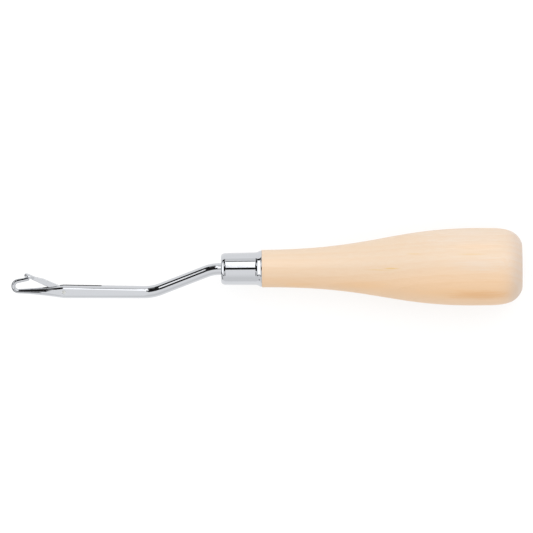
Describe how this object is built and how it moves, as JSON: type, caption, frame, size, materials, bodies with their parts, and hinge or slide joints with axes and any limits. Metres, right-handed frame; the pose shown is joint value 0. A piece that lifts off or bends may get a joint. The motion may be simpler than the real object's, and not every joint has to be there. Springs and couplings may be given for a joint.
{
  "type": "latch hook",
  "caption": "Latch hook with a turned wooden handle, a metal ferrule and a bent steel shank that ends in an open hook, closed by a latch that swings on a rivet.",
  "frame": {"origin": "centre of the flat butt face at the handle's end", "axes": "+X along the handle's axis and out of the butt, so the hook lies towards -X; +Y towards the side that the hook opens to; +Z along the latch rivet, up when the tool lies on its side"},
  "size_m": [0.165, 0.025, 0.025],
  "materials": {
    "handle_wood": "pale close-grained wood, sanded smooth under a clear satin lacquer",
    "ferrule_plate": "drawn steel, bright nickel plate",
    "shank_plate": "steel rod, bright nickel plate",
    "latch_plate": "stamped steel, bright nickel plate",
    "rivet_plate": "steel pin, ends dressed flush and plated over"
  },
  "bodies": {
    "tool": {"handle": "handle_wood", "ferrule": "ferrule_plate", "shank": "shank_plate", "latch_rivet": "rivet_plate"},
    "latch": {"latch": "latch_plate"}
  },
  "joints": [
    {"name": "latch_hinge", "type": "hinge", "parent": "tool", "child": "latch", "pos_m": [-0.14797, -0.00681, 0], "axis": [0, 0, -1], "range_deg": [0, 144]}
  ]
}
